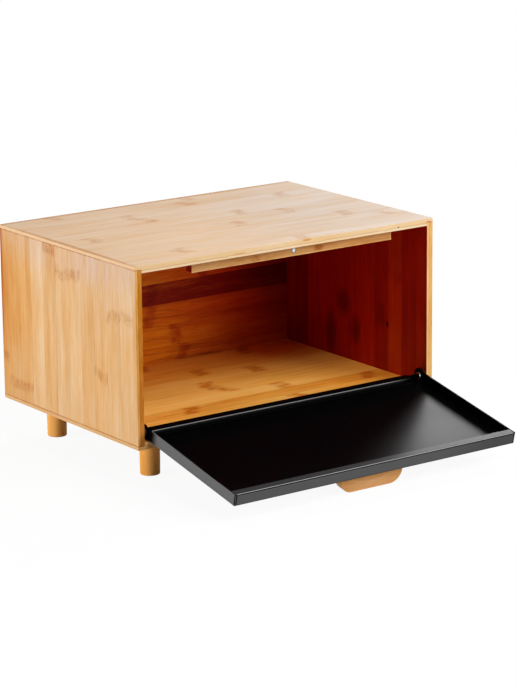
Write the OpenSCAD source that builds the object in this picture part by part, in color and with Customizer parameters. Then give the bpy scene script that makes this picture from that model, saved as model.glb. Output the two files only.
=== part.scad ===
// Bread box with a fold-down metal door.
// A bamboo case on four round legs. The black sheet-metal door is hinged at the
// bottom of the opening and rests open, a little below level, on the front edge
// of the bottom board. Its free edge is held shut by a magnet in the stop strip.
//
// The frame: X runs along the width, Y from the front to the back, Z up from the
// surface that the legs stand on. The origin is under the middle of the whole
// object with its door open.

/* [Case] */
// Outside width of the case
case_w = 380; // [300:1:450]
// Outside depth of the case
case_d = 260; // [200:1:300]
// Outside height of the case, without its legs
case_h = 190; // [150:1:220]
// Thickness of the case boards
board_t = 8; // [7:0.5:12]
// Thickness of the tongue with which the top and bottom lap over the sides
lap_t = 3.8; // [2.5:0.1:5]
// Radius of the softened edges of the boards
edge_r = 0.6; // [0.3:0.1:1]

/* [Stop strip and magnet] */
// Length of the stop strip under the top
strip_l = 257; // [180:1:270]
// Distance of the strip's middle from the middle of the case
strip_offset = 16; // [-20:1:20]
// Depth of the stop strip from front to back
strip_d = 10; // [8:0.5:16]
// Height of the stop strip
strip_h = 12; // [10:0.5:16]
// Gap between the closed door and the stop strip
strip_gap = 0.6; // [0.5:0.1:1.5]
// Diameter of the magnet
magnet_d = 5.6; // [4:0.1:8]
// Length of the magnet
magnet_l = 4; // [2:0.1:6]
// Gap between the magnet's face and the closed door
magnet_gap = 0.3; // [0.2:0.05:0.4]
// Width of the open ring round the magnet in its hole
magnet_ring = 0.4; // [0.1:0.05:0.8]

/* [Legs] */
// Diameter of a leg at the case
leg_top_d = 21.8; // [16:0.1:30]
// Diameter of a leg at the surface it stands on
leg_foot_d = 20.8; // [14:0.1:28]
// Radius of the softened edge of a leg's foot
leg_edge_r = 1; // [0.5:0.1:2]
// Distance of the leg's axis from the side of the case
leg_inset_x = 42.5; // [20:0.5:60]
// Distance of a front leg's axis from the front of the case
front_leg_inset = 44; // [20:1:60]
// Distance of a rear leg's axis from the back of the case
rear_leg_inset = 36; // [20:1:60]
// Diameter of the stud that holds a leg to the bottom board
stud_d = 6; // [4:0.5:8]
// Length of the stud inside the bottom board
stud_in_board = 6; // [4:0.5:6.5]
// Length of the stud inside the leg
stud_in_leg = 18; // [10:1:24]
// Radial clearance of a stud or a screw in its hole
thread_fit = 0.05; // [0.02:0.01:0.1]

/* [Door] */
// Thickness of the door's sheet metal
sheet_t = 1; // [0.8:0.1:1.5]
// Depth of the door pan, over its outer face and its lips
pan_depth = 12.7; // [11:0.1:16]
// Outer radius of the bends in the sheet
bend_r = 1.7; // [1.6:0.1:2.5]
// Width of the lip along the free edge
free_lip_w = 8.8; // [7:0.1:12]
// Width of the lip along the hinge edge
hinge_lip_w = 9.6; // [5:0.1:12]
// Gap between the end of a lip and the wall beside it
lip_end_gap = 0.8; // [0.5:0.1:5]
// Length of the notch in the hinge lip's right end, over the hinge screw's head
driver_notch_l = 21; // [12:1:30]
// Open notch at each corner where two bent walls meet
corner_notch = 1.2; // [1:0.1:2]
// Gap between the door and each side of the case
door_side_gap = 3.5; // [2:0.1:5]
// Gap between the closed door's free edge and the top board
door_top_gap = 4; // [2:0.1:8]
// How far the closed door's outer face lies behind the front of the case
door_recess = 0.5; // [0:0.1:5]
// Gap between the open door and the edge of the bottom board that it rests on
stop_gap = 0.6; // [0.3:0.05:1]

/* [Hinge] */
// Height of the hinge axis above the bottom board
hinge_rise = 8.9; // [8.5:0.1:10]
// Distance of the hinge axis from the door's outer face
hinge_from_face = 6.6; // [6:0.1:7.5]
// Distance of the hinge axis from the hinge-edge wall of the pan
hinge_behind_pan = 2; // [1:0.1:7]
// Radius of the rounded ear that turns on the hinge screw
ear_r = 8.3; // [6:0.1:8.4]
// Diameter of the hinge screw's shoulder
shoulder_d = 5; // [4:0.1:6]
// Radial running clearance of the ear on the shoulder
shoulder_fit = 0.05; // [0.02:0.01:0.1]
// Play of the ear between the screw's head and the spacer
ear_play = 0.15; // [0.1:0.05:0.4]
// Diameter of the hinge screw's head
hinge_head_d = 7.6; // [6:0.1:9]
// Height of the hinge screw's head
hinge_head_h = 2.2; // [1.5:0.1:3]
// Clearance of the relief cut in the door round a hinge screw's head
head_relief = 0.6; // [0.3:0.1:1]
// Diameter of the hinge screw's thread
hinge_thread_d = 4; // [3:0.1:4]
// Length of the hinge screw's thread in the side board
hinge_thread_l = 6; // [4:0.1:6.5]
// Outside diameter of the spacer on the shoulder
spacer_d = 10; // [8:0.1:12]

/* [Handle] */
// Length of the handle along the door
handle_w = 77; // [50:1:120]
// How far the handle stands out from the door
handle_reach = 20; // [16:0.1:30]
// Thickness of the handle
handle_t = 11; // [9:0.1:14]
// Radius of the handle's two outer corners
handle_corner_r = 14; // [5:0.5:15]
// Distance of the handle from the door's free edge
handle_from_edge = 9.5; // [3:0.5:30]
// Distance between the handle's two screws
handle_screw_pitch = 44; // [20:1:46]
// Diameter of a handle screw
handle_screw_d = 3.5; // [3:0.1:4]
// Length of a handle screw inside the handle
handle_screw_l = 12; // [8:0.5:14]
// Diameter of a handle screw's head
handle_head_d = 7; // [6:0.1:8]
// Height of a handle screw's head
handle_head_h = 2; // [1.5:0.1:3]
// Gap between the open handle and the surface that the legs stand on
table_gap = 0.5; // [0.3:0.1:30]

/* [Hidden] */
$fn = 64;

// Opening between the boards
opening_w = case_w - 2 * board_t;
opening_h = case_h - 2 * board_t;

// Door pan, measured from its hinge-edge wall to its free edge
door_w = opening_w - 2 * door_side_gap;
door_l = opening_h - hinge_rise - hinge_behind_pan - door_top_gap;

// Hinge axis behind the front of the case, and how far the open door droops:
// the door turns until its outer face meets the edge of the bottom board.
hinge_setback = door_recess + hinge_from_face;
edge_reach = norm([hinge_setback, hinge_rise]);
open_droop = acos((hinge_from_face + stop_gap) / edge_reach) - atan2(hinge_setback, hinge_rise);

// The legs are as tall as the open door's handle needs
handle_out = hinge_behind_pan + door_l - handle_from_edge;
handle_down = hinge_from_face + handle_reach;
handle_drop = handle_out * sin(open_droop) + handle_down * cos(open_droop) - hinge_rise - board_t;
leg_h = handle_drop + table_gap;

// Reach of the open door in front of the case, to the free edge's upper bend
bend_out = hinge_behind_pan + door_l - bend_r;
bend_up = pan_depth - hinge_from_face - bend_r;
door_reach = bend_out * cos(open_droop) + bend_up * sin(open_droop) + bend_r - hinge_setback;

// The front of the case, as the whole object's middle is the origin
front_y = (door_reach - case_d) / 2;
hinge_y = front_y + hinge_setback;
hinge_z = leg_h + board_t + hinge_rise;

// Stop strip and magnet
strip_front_y = front_y + door_recess + pan_depth + strip_gap;
strip_top_z = leg_h + case_h - board_t;
magnet_front_y = front_y + door_recess + pan_depth + magnet_gap;

left = -1;
right = 1;
front = -1;
rear = 1;

bamboo_top = [0.89, 0.76, 0.62];
bamboo_side = [0.87, 0.68, 0.46];
bamboo_back = [0.80, 0.58, 0.34];
bamboo_leg = [0.80, 0.54, 0.28];
black_paint = [0.08, 0.08, 0.09];
bright_steel = [0.78, 0.79, 0.80];
zinc = [0.66, 0.67, 0.68];
nylon = [0.12, 0.12, 0.12];

// ---- Shared shapes -------------------------------------------------------

// Rectangle about the origin with true round corners
module rounded_rect(w, h, r) {
    square([w - 2 * r, h], center = true);
    square([w, h - 2 * r], center = true);
    for (x = [-1, 1], y = [-1, 1])
        translate([x * (w / 2 - r), y * (h / 2 - r)]) circle(r);
}

// A profile drawn in Y and Z, drawn out along X about the middle
module along_x(length) {
    rotate([90, 0, 90]) linear_extrude(length, center = true) children();
}

// A profile drawn in X and Z, drawn out along Y about the middle
module along_y(length) {
    rotate([90, 0, 0]) linear_extrude(length, center = true) children();
}

// Block about the origin with every edge softened
module soft_block(size, r) {
    intersection() {
        linear_extrude(size.z, center = true) rounded_rect(size.x, size.y, r);
        along_x(size.x) rounded_rect(size.y, size.z, r);
        along_y(size.y) rounded_rect(size.x, size.z, r);
    }
}

// Round pin along Z from 0 to length, with both ends chamfered
module chamfered_pin(d, length, chamfer) {
    rotate_extrude()
        polygon([
            [0, 0], [d / 2 - chamfer, 0], [d / 2, chamfer],
            [d / 2, length - chamfer], [d / 2 - chamfer, length], [0, length],
        ]);
}

// Low round screw head, its flat face down on Z = 0
module screw_head(d, h) {
    rim = h * 0.35;
    dome_r = (pow(d / 2, 2) + pow(h - rim, 2)) / (2 * (h - rim));
    cylinder(d = d, h = rim);
    translate([0, 0, rim])
        intersection() {
            translate([0, 0, h - rim - dome_r]) sphere(dome_r);
            cylinder(d = d, h = h);
        }
}

// ---- Case ----------------------------------------------------------------

// Top board, lying on its lower face: it is full thickness between the sides,
// and only its tongues lap over them.
module lapped_board() {
    rabbet = [board_t, case_d, board_t - lap_t];
    difference() {
        translate([0, 0, board_t / 2]) soft_block([case_w, case_d, board_t], edge_r);
        for (side = [left, right])
            translate([side * (case_w - rabbet.x) / 2, 0, rabbet.z / 2 - edge_r])
                cube([rabbet.x, 2 * rabbet.y, rabbet.z + 2 * edge_r], center = true);
    }
}

module case_middle(z) {
    translate([0, front_y + case_d / 2, leg_h + z]) children();
}

module top_panel() {
    color(bamboo_top) case_middle(case_h - board_t) lapped_board();
}

module bottom_panel() {
    color(bamboo_side)
        difference() {
            case_middle(board_t) mirror([0, 0, 1]) lapped_board();
            for (side = [left, right], end = [front, rear])
                at_leg(side, end)
                    translate([0, 0, -edge_r]) cylinder(d = stud_hole_d, h = stud_in_board + edge_r);
        }
}

// Side board between the two tongues, bored for the hinge screw's thread
module side_board(side) {
    color(bamboo_side)
        difference() {
            case_middle(case_h / 2)
                translate([side * (case_w - board_t) / 2, 0, 0])
                    soft_block([board_t, case_d, case_h - 2 * lap_t], edge_r);
            at_hinge(side) mirror([0, 0, 1])
                cylinder(d = hinge_thread_d + 2 * thread_fit, h = hinge_thread_l);
        }
}

module left_side() side_board(left);

module right_side() side_board(right);

module back_panel() {
    color(bamboo_back)
        case_middle(case_h / 2)
            translate([0, (case_d - board_t) / 2, 0])
                soft_block([opening_w, board_t, opening_h], edge_r);
}

// ---- Stop strip and magnet -----------------------------------------------

magnet_hole_depth = magnet_l + magnet_gap - strip_gap;

module at_magnet(y) {
    translate([strip_offset, y, strip_top_z - strip_h / 2]) rotate([-90, 0, 0]) children();
}

module stop_strip() {
    color(bamboo_side)
        difference() {
            translate([strip_offset, strip_front_y + strip_d / 2, strip_top_z - strip_h / 2])
                soft_block([strip_l, strip_d, strip_h], edge_r);
            at_magnet(strip_front_y + magnet_hole_depth) mirror([0, 0, 1])
                cylinder(d = magnet_d + 2 * magnet_ring, h = magnet_l + strip_gap);
        }
}

module catch_magnet() {
    color(bright_steel)
        at_magnet(magnet_front_y) chamfered_pin(magnet_d, magnet_l, 0.3);
}

// ---- Legs ----------------------------------------------------------------

stud_hole_d = stud_d + 2 * thread_fit;

// The top of a leg, at the underside of the bottom board
module at_leg(side, end) {
    y = end == front ? front_y + front_leg_inset : front_y + case_d - rear_leg_inset;
    translate([side * (case_w / 2 - leg_inset_x), y, leg_h]) children();
}

module leg_profile() {
    foot_r = leg_foot_d / 2;
    difference() {
        union() {
            square([foot_r - leg_edge_r, leg_edge_r]);
            translate([foot_r - leg_edge_r, leg_edge_r]) circle(leg_edge_r);
            polygon([
                [0, leg_edge_r], [foot_r, leg_edge_r],
                [leg_top_d / 2, leg_h], [0, leg_h],
            ]);
        }
        translate([0, leg_h - stud_in_leg]) square([stud_hole_d / 2, stud_in_leg + 1]);
    }
}

module leg(side, end) {
    color(bamboo_leg)
        at_leg(side, end) translate([0, 0, -leg_h]) rotate_extrude() leg_profile();
}

module stud(side, end) {
    color(zinc)
        at_leg(side, end)
            translate([0, 0, -stud_in_leg]) chamfered_pin(stud_d, stud_in_leg + stud_in_board, 0.6);
}

module front_left_leg() leg(left, front);

module front_right_leg() leg(right, front);

module rear_left_leg() leg(left, rear);

module rear_right_leg() leg(right, rear);

module front_left_stud() stud(left, front);

module front_right_stud() stud(right, front);

module rear_left_stud() stud(left, rear);

module rear_right_stud() stud(right, rear);

// ---- Hinge ---------------------------------------------------------------

// The hinge axis at a side board's inner face, with Z pointing into the case
module at_hinge(side) {
    translate([side * opening_w / 2, hinge_y, hinge_z]) rotate([0, -side * 90, 0]) children();
}

shoulder_l = door_side_gap + sheet_t + ear_play;

module hinge_screw(side) {
    color(bright_steel)
        at_hinge(side) {
            translate([0, 0, -hinge_thread_l]) cylinder(d = hinge_thread_d, h = hinge_thread_l);
            cylinder(d = shoulder_d, h = shoulder_l);
            translate([0, 0, shoulder_l]) screw_head(hinge_head_d, hinge_head_h);
        }
}

module hinge_spacer(side) {
    color(nylon)
        at_hinge(side)
            difference() {
                cylinder(d = spacer_d, h = door_side_gap - ear_play);
                translate([0, 0, -1]) cylinder(d = shoulder_d + 2 * shoulder_fit, h = door_side_gap + 2);
            }
}

module left_hinge_screw() hinge_screw(left);

module right_hinge_screw() hinge_screw(right);

module left_hinge_spacer() hinge_spacer(left);

module right_hinge_spacer() hinge_spacer(right);

// ---- Door ----------------------------------------------------------------

// The open door's own frame: the origin is where the outer face meets the
// hinge-edge wall, -Y runs along the door to its free edge, and Z into the pan.
module in_door() {
    translate([0, hinge_y, hinge_z]) rotate([open_droop, 0, 0])
        translate([0, -hinge_behind_pan, -hinge_from_face]) children();
}

// A bent channel in section: a floor with a wall at each end, open at the top
module channel_profile(length, depth) {
    difference() {
        translate([0, depth / 2]) rounded_rect(length, depth, bend_r);
        translate([0, depth / 2]) rounded_rect(length - 2 * sheet_t, depth - 2 * sheet_t, bend_r - sheet_t);
        children();
    }
}

// Floor with the free-edge and hinge-edge walls, both folded in to a lip
module lipped_section() {
    along_x(door_w - 2 * corner_notch)
        translate([-door_l / 2, 0])
            channel_profile(door_l, pan_depth)
                translate([(free_lip_w - hinge_lip_w) / 2, pan_depth])
                    square([door_l - free_lip_w - hinge_lip_w, 2 * bend_r], center = true);
}

// Floor with the two side walls, which have no lip
module side_wall_section() {
    translate([0, -door_l / 2, 0])
        along_y(door_l - 2 * corner_notch)
            channel_profile(door_w, 2 * pan_depth)
                translate([0, 1.5 * pan_depth]) square([door_w + 1, pan_depth], center = true);
}

// Cuts that part the lips from the side walls
module lip_end_cuts() {
    cut = lip_end_gap + 0.01;
    for (side = [left, right])
        translate([side * (door_w / 2 - sheet_t - cut / 2), -door_l / 2, pan_depth])
            cube([cut, door_l - 2 * sheet_t, 2 * bend_r], center = true);
}

// Notch in the right end of the hinge lip, where a driver reaches the hinge
// screw: it takes the lip and its bend away, down to the top of the screw's head.
module driver_notch() {
    bottom = hinge_from_face + hinge_head_d / 2;
    depth = pan_depth - bottom + sheet_t;
    reach = hinge_lip_w + 2 * sheet_t;
    translate([door_w / 2 - sheet_t - driver_notch_l / 2, sheet_t - reach / 2, bottom + depth / 2])
        cube([driver_notch_l, reach, depth], center = true);
}

// Ear in the plane of a side wall, round the hinge axis
module ear(side) {
    overlap = corner_notch + bend_r;
    translate([side * (door_w - sheet_t) / 2, 0, 0])
        along_x(sheet_t) {
            translate([hinge_behind_pan, hinge_from_face]) circle(ear_r);
            translate([-overlap, bend_r])
                square([overlap + hinge_behind_pan, pan_depth - bend_r]);
        }
}

// Cut in the end of the hinge-edge wall that clears a hinge screw's head
module head_relief_cut(side) {
    length = ear_play + hinge_head_h + head_relief;
    translate([side * (door_w / 2 - sheet_t - length / 2), hinge_behind_pan, hinge_from_face])
        rotate([0, 90, 0])
            cylinder(d = hinge_head_d + 2 * head_relief, h = length, center = true);
}

module door_pan() {
    color(black_paint)
        in_door()
            difference() {
                union() {
                    lipped_section();
                    side_wall_section();
                    ear(left);
                    ear(right);
                }
                lip_end_cuts();
                driver_notch();
                for (side = [left, right])
                    head_relief_cut(side);
                translate([0, hinge_behind_pan, hinge_from_face]) rotate([0, 90, 0])
                    cylinder(d = shoulder_d + 2 * shoulder_fit, h = door_w + 2, center = true);
                for (side = [left, right])
                    at_handle_screw(side)
                        cylinder(d = handle_screw_d + 2 * thread_fit, h = 4 * sheet_t, center = true);
            }
}

// ---- Handle --------------------------------------------------------------

handle_mid_y = -door_l + handle_from_edge + handle_t / 2;

// A handle screw's axis at the door's outer face, in the door's frame
module at_handle_screw(side) {
    translate([side * handle_screw_pitch / 2, handle_mid_y, 0]) children();
}

// Outline of the handle, hanging from Z = 0 with its two outer corners round
module handle_profile() {
    translate([0, -handle_reach])
        intersection() {
            translate([0, handle_reach]) rounded_rect(handle_w, 2 * handle_reach, handle_corner_r);
            translate([-handle_w / 2, 0]) square([handle_w, handle_reach]);
        }
}

module door_handle() {
    color(bamboo_leg)
        in_door()
            difference() {
                translate([0, handle_mid_y, 0]) along_y(handle_t) handle_profile();
                for (side = [left, right])
                    at_handle_screw(side) mirror([0, 0, 1])
                        cylinder(d = handle_screw_d + 2 * thread_fit, h = handle_screw_l);
            }
}

module handle_screw(side) {
    color(zinc)
        in_door() at_handle_screw(side) {
            translate([0, 0, -handle_screw_l])
                cylinder(d = handle_screw_d, h = handle_screw_l + sheet_t);
            translate([0, 0, sheet_t]) screw_head(handle_head_d, handle_head_h);
        }
}

module left_handle_screw() handle_screw(left);

module right_handle_screw() handle_screw(right);

// ---- Nodes ---------------------------------------------------------------

top_panel();
bottom_panel();
left_side();
right_side();
back_panel();
stop_strip();
catch_magnet();
front_left_leg();
front_right_leg();
rear_left_leg();
rear_right_leg();
front_left_stud();
front_right_stud();
rear_left_stud();
rear_right_stud();
left_hinge_screw();
right_hinge_screw();
left_hinge_spacer();
right_hinge_spacer();
door_pan();
door_handle();
left_handle_screw();
right_handle_screw();
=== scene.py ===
import math

import bmesh
import bpy
from mathutils import Matrix, Vector

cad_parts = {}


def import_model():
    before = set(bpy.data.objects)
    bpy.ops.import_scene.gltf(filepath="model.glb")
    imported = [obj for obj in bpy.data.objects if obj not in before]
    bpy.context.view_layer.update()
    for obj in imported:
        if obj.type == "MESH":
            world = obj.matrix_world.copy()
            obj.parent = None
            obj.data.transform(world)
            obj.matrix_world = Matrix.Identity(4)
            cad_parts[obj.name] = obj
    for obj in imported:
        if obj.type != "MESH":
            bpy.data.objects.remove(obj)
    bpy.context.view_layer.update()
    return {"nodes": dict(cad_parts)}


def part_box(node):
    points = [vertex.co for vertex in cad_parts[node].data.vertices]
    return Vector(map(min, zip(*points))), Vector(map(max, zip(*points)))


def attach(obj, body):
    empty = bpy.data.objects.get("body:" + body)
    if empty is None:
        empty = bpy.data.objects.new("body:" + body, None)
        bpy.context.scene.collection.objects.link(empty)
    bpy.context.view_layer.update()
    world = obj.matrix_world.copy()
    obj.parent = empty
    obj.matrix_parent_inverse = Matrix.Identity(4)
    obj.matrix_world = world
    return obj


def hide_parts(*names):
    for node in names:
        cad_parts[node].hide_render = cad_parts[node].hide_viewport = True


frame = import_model()

MM = 0.001

# Camera: the photograph's viewing angle in degrees, its place in metres and its lens in millimetres.
CAMERA_AZIMUTH = -35.688
CAMERA_ELEVATION = 14.338
CAMERA_ROLL = -0.594
CAMERA_PLACE = (-1.713401, -2.383099, 0.862230)
CAMERA_LENS = 150.77
SENSOR_WIDTH = 36

# Bamboo colours, linear: the dark, middle and pale ends of a strip's tone on each kind of face. The faces
# inside the box have painted shade: the palettes of the floor, the back, the right wall and the ceiling are
# the photograph's, redder than plain shadow would be, and the left board's inner face has a milder one.
HONEY = ((0.62, 0.28, 0.06), (0.74, 0.435, 0.19), (0.84, 0.60, 0.36))
# The top face's palette is the bamboo's colour, made paler and greyer than its edges' by a painted sheen.
PALE_TOP_AND_SHEEN = ((0.54, 0.305, 0.138), (0.62, 0.45, 0.31), (0.69, 0.56, 0.455))
TOP_EDGE = ((0.50, 0.25, 0.08), (0.66, 0.44, 0.22), (0.73, 0.55, 0.34))
LEFT_EDGE = ((0.38, 0.115, 0.002), (0.60, 0.26, 0.05), (0.75, 0.50, 0.26))
RIGHT_EDGE = ((0.50, 0.19, 0.035), (0.69, 0.39, 0.125), (0.82, 0.56, 0.27))
# The bottom board's edges: the bamboo's colour, lightened by painted light where the open door shades them.
BOTTOM_EDGE_LIT = ((0.62, 0.26, 0.06), (0.86, 0.50, 0.20), (0.92, 0.60, 0.32))
STRIP_EDGE = ((0.46, 0.15, 0.012), (0.70, 0.35, 0.11), (0.84, 0.56, 0.28))
ROUND = ((0.90, 0.36, 0.055), (0.96, 0.48, 0.12), (0.97, 0.57, 0.20))
HANDLE = ((0.62, 0.26, 0.06), (0.74, 0.38, 0.14), (0.82, 0.50, 0.24))
FLOOR_PAINTED_SHADE = ((0.68, 0.24, 0.02), (0.92, 0.47, 0.08), (0.98, 0.60, 0.18))
BACK_PAINTED_SHADE = ((0.26, 0.016, 0.001), (0.72, 0.19, 0.004), (0.96, 0.46, 0.02))
WALL_PAINTED_SHADE = ((0.215, 0.002, 0.002), (0.45, 0.011, 0.003), (0.60, 0.047, 0.006))
SIDE_PAINTED_SHADE = ((0.34, 0.060, 0.008), (0.60, 0.160, 0.022), (0.76, 0.270, 0.045))

# End grain, linear. The stop strip's ends are a dark red painted shade.
END_GRAIN = (0.82, 0.55, 0.32)
BOTTOM_END = (0.74, 0.44, 0.20)
STRIP_END_SHADE = (0.35, 0.03, 0.005)
HANDLE_END = (0.74, 0.38, 0.14)

# What marks, glue lines, stains, knots and light or dark patches multiply the bamboo's colour by; many of
# the patches and some lines are painted light, shade and sheen.
MARK_TINT = (0.72, 0.46, 0.25)
GLUE_TINT = (0.66, 0.46, 0.30)
STAIN_TINT = (0.94, 0.74, 0.40)
KNOT_TINT = (0.76, 0.50, 0.22)
# Dark joint and glue lines, and on the stop strip a painted shade under the top board.
LINE_AND_SHADE_TINT = (0.66, 0.38, 0.20)
# Painted highlights along the stop strip's lower and right arrises.
STRIP_HIGHLIGHT_TINT = (1.30, 1.50, 1.90)
DIM_TINT = (0.48, 0.40, 0.50)
ARRIS_TINT = (0.76, 0.60, 0.46)
WARM_TINT = (1.02, 0.90, 0.72)
COOL_TINT = (1.00, 1.04, 1.18)
SPECK_TINT = (0.05, 0.02, 0.02)
END_DOT_TINT = (0.84, 0.72, 0.60)
CRACK_TINT = (0.22, 0.10, 0.05)
# Painted sheen on the top: less of it, and warmer, on the left; more of it, paler and bluer, on the right.
TOP_LEFT_LESS_SHEEN_TINT = (1.06, 0.98, 0.86)
TOP_RIGHT_SHEEN_TINT = (0.92, 0.99, 1.11)
# Painted shade and light on the floor inside the box: darker and redder towards the rear, darker in the right
# wall's shadow, paler at the front left.
FLOOR_REAR_SHADE_TINT = (1.02, 0.80, 0.40)
FLOOR_RIGHT_SHADOW_TINT = (0.94, 0.78, 0.50)
FLOOR_LEFT_LIGHT_TINT = (1.05, 1.15, 1.40)
# Painted sheen on the left board: paler and bluer at the top front of its outer face, along its top and on
# the upper part of its front edge; painted shade on the lower part of that edge.
LEFT_FRONT_SHEEN_TINT = (1.00, 1.10, 1.36)
LEFT_TOP_SHEEN_TINT = (0.94, 1.00, 1.32)
LEFT_EDGE_SHEEN_TINT = (1.12, 1.30, 1.70)
LEFT_EDGE_SHADE_TINT = (0.90, 0.80, 0.60)
WALL_GREEN_TINT = (1.0, 1.5, 1.3)
# Painted light on the right wall's inner face, low down near the front.
WALL_PAINTED_LIGHT_TINT = (1.06, 1.90, 1.40)
# Painted shade on the back wall inside the box, deeper and redder towards the right and in the right corner,
# and painted light low down left of the middle.
BACK_RIGHT_SHADE_TINT = (0.80, 0.20, 0.40)
BACK_CORNER_SHADE_TINT = (0.40, 0.20, 0.40)
BACK_PAINTED_LIGHT_TINT = (1.12, 1.20, 1.0)

# Black paint, linear: the plain pan; its outer face, the paint's own grey with a painted sheen; painted grey
# reflections on its front, its side faces and its lips; painted highlights on its bends and sheet edges.
PAINT_BLACK = (0.0010, 0.0010, 0.0012)
PAINT_OUTSIDE_AND_SHEEN = (0.016, 0.016, 0.017)
PAINT_FRONT_REFLECTION = (0.088, 0.088, 0.090)
PAINT_WALL_REFLECTION = (0.145, 0.145, 0.145)
PAINT_BEND_HIGHLIGHT = (0.42, 0.42, 0.42)
PAINT_LIP_REFLECTION = (0.035, 0.035, 0.036)
PAINT_RIM_HIGHLIGHT = (0.14, 0.14, 0.14)

STRIP_WIDTH = 24.2 * MM


class Nodes:
    """Builds the node tree of a material or a world with one short call for each node."""

    def __init__(self, owner):
        self.owner = owner
        owner.use_nodes = True
        self.tree = owner.node_tree
        self.tree.nodes.clear()

    def add(self, kind, inputs=None, **settings):
        node = self.tree.nodes.new(kind)
        for name, value in settings.items():
            setattr(node, name, value)
        for key, value in (inputs or {}).items():
            self.feed(node.inputs[key], value)
        return node

    def feed(self, socket, value):
        if isinstance(value, bpy.types.NodeSocket):
            self.tree.links.new(value, socket)
        elif isinstance(value, tuple) and len(value) == 3 and socket.type == "RGBA":
            socket.default_value = (*value, 1)
        else:
            socket.default_value = value

    def calc(self, operation, *values):
        node = self.add("ShaderNodeMath", operation=operation)
        for socket, value in zip(node.inputs, values):
            self.feed(socket, value)
        return node.outputs[0]

    def total(self, first, *others):
        for other in others:
            first = self.calc("ADD", first, other)
        return first

    def product(self, first, *others):
        for other in others:
            first = self.calc("MULTIPLY", first, other)
        return first

    def fade(self, value, start, end, low=0.0, high=1.0):
        """Goes smoothly from low at start to high at end."""
        inputs = {0: value, 1: start, 2: end, 3: low, 4: high}
        return self.add("ShaderNodeMapRange", inputs, interpolation_type="SMOOTHSTEP").outputs[0]

    def remap(self, value, start, end, low=0.0, high=1.0):
        return self.add("ShaderNodeMapRange", {0: value, 1: start, 2: end, 3: low, 4: high}).outputs[0]

    def vector(self, x, y, z):
        return self.add("ShaderNodeCombineXYZ", {0: x, 1: y, 2: z}).outputs[0]

    def pair(self, operation, first, second):
        """A vector from two others."""
        return self.add("ShaderNodeVectorMath", {0: first, 1: second}, operation=operation).outputs[0]

    def dot(self, first, second):
        inputs = {0: first, 1: second}
        return self.add("ShaderNodeVectorMath", inputs, operation="DOT_PRODUCT").outputs["Value"]

    def length(self, vector):
        return self.add("ShaderNodeVectorMath", {0: vector}, operation="LENGTH").outputs["Value"]

    def noise(self, vector, detail=2.0, roughness=0.5, scale=1.0):
        inputs = {"Vector": vector, "Scale": scale, "Detail": detail, "Roughness": roughness}
        return self.add("ShaderNodeTexNoise", inputs).outputs["Fac"]

    def mix(self, factor, a, b, blend="MIX"):
        node = self.add("ShaderNodeMix", data_type="RGBA", blend_type=blend)
        self.feed(node.inputs[0], factor)
        self.feed(node.inputs[6], a)
        self.feed(node.inputs[7], b)
        return node.outputs[2]

    def ramp(self, factor, stops, interpolation="LINEAR"):
        """A colour ramp; stops are (place, colour) pairs."""
        node = self.add("ShaderNodeValToRGB", {0: factor})
        ramp = node.color_ramp
        ramp.interpolation = interpolation
        for index, (place, colour) in enumerate(stops):
            stop = ramp.elements[index] if index < 2 else ramp.elements.new(place)
            stop.position = place
            stop.color = (*colour, 1)
        return node.outputs[0]

    def palette(self, tone, colours):
        """Turns a tone from 0 to 1 into a colour between the dark, middle and pale ones."""
        return self.ramp(tone, list(zip((0.0, 0.5, 1.0), colours)))

    def shader(self, **inputs):
        """Ends the tree in a Principled shader; an input's name has _ for its spaces."""
        named = {key.replace("_", " "): value for key, value in inputs.items()}
        shader = self.add("ShaderNodeBsdfPrincipled", named)
        self.add("ShaderNodeOutputMaterial", {"Surface": shader.outputs[0]})
        return self.owner


class Board:
    """What one board's bamboo looks like: its axes, its strips and the palettes of its faces and edges.

    along and across are axis letters. strips is a list of (tone, first mark, second mark) from the board's
    low edge on, the marks in mm along the fibres from its low end, and lead is how far the first strip
    reaches past the edge. low_face and high_face are the palettes of the broad faces, edges is the edges'
    and end is the end grain's colour. ply is (place, tone below, tone above) of the two layers that show on
    the edges. blots_and_painted_light are (x, y, z, reach along each axis, strength, tint) of knots, specks,
    stains and patches of painted light, shade and sheen on the broad faces, and edge_blots_and_painted_light
    those on the edges, all in mm. joints are (axis, strong end, clear end, strength, tint)
    of dark lines along its borders, and of painted shade and highlights there. marks are the strength of the
    node marks, their half length in mm and how dark they are between their dashes. streaks is how strong the
    fibres' streaks are, glue how strong the glue lines are, gloss the specular level and dull the lowest
    roughness.
    """

    def __init__(
        self, along, across, strips, lead=0.0, low_face=HONEY, high_face=HONEY, edges=HONEY, end=END_GRAIN,
        ply=None, blots_and_painted_light=(), edge_blots_and_painted_light=(), joints=(), marks=(0.95, 6.0, 0.42), streaks=1.0, glue=0.45,
        gloss=0.1, dull=0.40,
    ):
        self.along = along
        self.across = across
        self.through = ({"X", "Y", "Z"} - {along, across}).pop()
        self.strips = strips
        self.lead = lead
        self.low_face = low_face
        self.high_face = high_face
        self.edges = edges
        self.end = end
        self.ply = ply
        self.blots_and_painted_light = blots_and_painted_light
        self.edge_blots_and_painted_light = edge_blots_and_painted_light
        self.joints = joints
        self.marks = marks
        self.streaks = streaks
        self.glue = glue
        self.gloss = gloss
        self.dull = dull


# A strip's two mark places are kept in a colour, as shares of a scale in mm that starts below the board.
MARK_SCALE = 500.0
MARK_ZERO = 50.0
# The place of a mark that isn't there.
OFF = -40.0
# How far apart in the noise two neighbouring strips take their fibres.
STRIP_SHIFT = 7.31
# How much the roughness of bamboo varies above its lowest value.
DULL_RANGE = 0.12
# The half thickness in mm of the soft step between two layers.
PLY_BLUR = 0.3


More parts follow.
